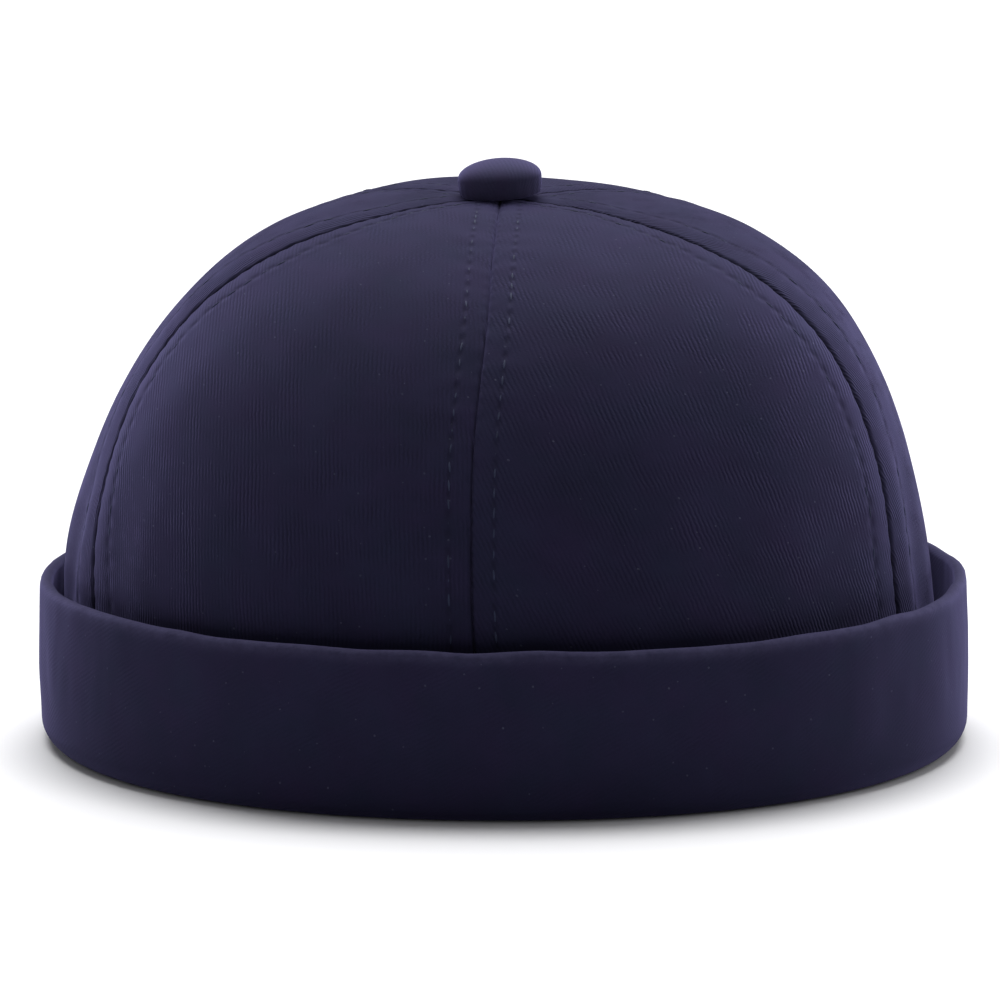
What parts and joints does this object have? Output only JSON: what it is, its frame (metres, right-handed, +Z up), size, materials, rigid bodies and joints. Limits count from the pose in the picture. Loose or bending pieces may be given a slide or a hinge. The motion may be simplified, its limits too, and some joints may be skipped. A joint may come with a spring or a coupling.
{
  "type": "sailor cap",
  "caption": "Brimless sailor cap of navy cotton twill: sewn panel crown, covered top button and turned-up cuff.",
  "frame": {"origin": "centre of the cap's outline at the floor that it rests on", "axes": "+Z up through the crown, -Y towards the front seam, +X to the right as seen from the front"},
  "size_m": [0.1862, 0.2062, 0.1147],
  "materials": {
    "crown_cloth": "navy brushed cotton twill, matt",
    "cuff_cloth": "navy brushed cotton twill, matt",
    "button_cloth": "navy cotton twill stretched over a button",
    "post_metal": "plain nickel-plated steel"
  },
  "bodies": {
    "root": {"crown_panel_front_left": "crown_cloth", "crown_panel_front_right": "crown_cloth", "crown_panel_side_left": "crown_cloth", "crown_panel_side_right": "crown_cloth", "crown_panel_back_left": "crown_cloth", "crown_panel_back_right": "crown_cloth", "cuff": "cuff_cloth", "top_button": "button_cloth", "button_post": "post_metal"}
  },
  "joints": []
}
